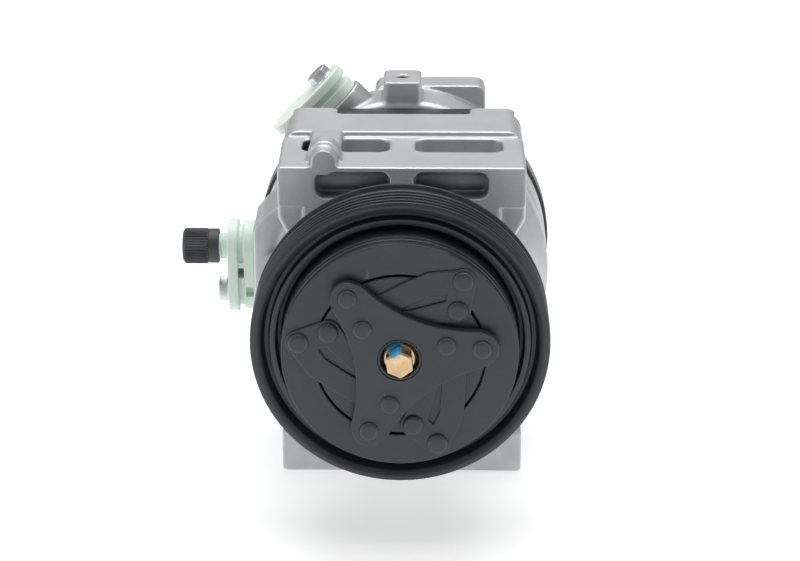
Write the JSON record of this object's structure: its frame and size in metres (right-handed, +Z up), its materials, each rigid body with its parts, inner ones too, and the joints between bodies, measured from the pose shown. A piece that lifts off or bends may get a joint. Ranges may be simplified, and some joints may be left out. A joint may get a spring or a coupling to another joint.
{
  "type": "automotive ac compressor",
  "caption": "Belt-driven scroll compressor for vehicle air conditioning with a magnetic clutch, cast housings, transverse mounting bores and plastic port covers.",
  "frame": {"origin": "middle of the lower front mounting bore", "axes": "+Z up; +X along the mounting bores, to the right of someone facing the pulley; +Y along the drive shaft, from the pulley to the rear housing"},
  "size_m": [0.1648, 0.2032, 0.162],
  "materials": {
    "cast_aluminium": "as-cast, satin",
    "black_anodised": "hard-anodised, matt",
    "machined_aluminium": "machined",
    "black_ecoat": "satin black coat",
    "black_steel": "satin black coat",
    "ground_steel": "ground",
    "spring_steel": "oiled",
    "zinc_steel": "clear zinc plate",
    "yellow_zinc": "yellow zinc plate",
    "coil_steel": "zinc plate, dull",
    "coil_resin": "potting resin",
    "rubber": "moulded",
    "mint_plastic": "moulded, pale green",
    "black_plastic": "moulded, knurled",
    "brass": "turned"
  },
  "bodies": {
    "housing": {"front_housing": "cast_aluminium", "fixed_scroll": "black_anodised", "rear_housing": "cast_aluminium", "front_oring": "rubber", "rear_oring": "rubber", "body_bolts": "zinc_steel", "discharge_reed": "spring_steel", "reed_stop": "spring_steel", "reed_screw": "spring_steel", "thrust_plate": "spring_steel", "anti_rotation_pins": "ground_steel", "front_bearing_outer": "ground_steel", "main_bearing_outer": "ground_steel", "shaft_seal": "rubber", "seal_circlip": "spring_steel", "coil_shell": "coil_steel", "coil_winding": "coil_resin", "coil_snap_ring": "spring_steel", "coil_gland": "rubber", "pulley_bearing_inner": "ground_steel", "nose_circlip": "spring_steel", "relief_valve": "zinc_steel", "oil_plug": "zinc_steel"},
    "shaft": {"drive_shaft": "ground_steel", "eccentric_bush": "ground_steel", "counterweight": "ground_steel", "front_bearing_inner": "ground_steel", "front_bearing_balls": "ground_steel", "main_bearing_inner": "ground_steel", "main_bearing_balls": "ground_steel", "hub_sleeve": "ground_steel", "hub_plate": "black_ecoat", "hub_rivets": "black_steel", "hub_shim": "ground_steel", "centre_bolt": "yellow_zinc"},
    "pulley": {"pulley": "black_ecoat", "pulley_bearing_outer": "ground_steel", "pulley_bearing_balls": "ground_steel", "pulley_snap_ring": "spring_steel"},
    "armature": {"armature_ring": "black_ecoat", "armature_disc": "black_ecoat", "leaf_spring_1": "black_ecoat", "leaf_spring_2": "black_ecoat", "leaf_spring_3": "black_ecoat", "armature_rivets": "black_steel"},
    "orbiter": {"orbiting_scroll": "machined_aluminium", "orbit_bearing": "ground_steel", "anti_rotation_rings": "ground_steel"},
    "suction_cap": {"suction_cover": "mint_plastic", "suction_cover_oring": "rubber", "suction_cover_bolt": "zinc_steel", "valve_core": "brass"},
    "valve_cap": {"valve_cap": "black_plastic", "valve_cap_seal": "rubber"},
    "discharge_cap": {"discharge_cover": "mint_plastic", "discharge_cover_oring": "rubber", "discharge_cover_bolt": "zinc_steel"}
  },
  "joints": [
    {"name": "shaft_spin", "type": "hinge", "parent": "housing", "child": "shaft", "pos_m": [0, -0.07, 0.0765], "axis": [0, 1, 0], "continuous": true},
    {"name": "scroll_orbit", "type": "hinge", "parent": "shaft", "child": "orbiter", "pos_m": [0.0048, 0.02, 0.0765], "axis": [0, 1, 0], "continuous": true},
    {"name": "pulley_spin", "type": "hinge", "parent": "housing", "child": "pulley", "pos_m": [0, -0.07, 0.0765], "axis": [0, 1, 0], "continuous": true},
    {"name": "armature_pull", "type": "slide", "parent": "shaft", "child": "armature", "axis": [0, 1, 0], "range_m": [0, 0.00045], "stiffness_N_per_m": 20000},
    {"name": "suction_cap_lift", "type": "slide", "parent": "housing", "child": "suction_cap", "axis": [-1, 0, 0], "range_m": [0, 0.035]},
    {"name": "valve_cap_unscrew", "type": "slide", "parent": "suction_cap", "child": "valve_cap", "axis": [-1, 0, 0], "range_m": [0, 0.012]},
    {"name": "discharge_cap_lift", "type": "slide", "parent": "housing", "child": "discharge_cap", "axis": [-0.7071, 0, 0.7071], "range_m": [0, 0.035]}
  ],
  "couplings": [
    {"joint": "scroll_orbit", "follows": "shaft_spin", "ratio": -1}
  ]
}
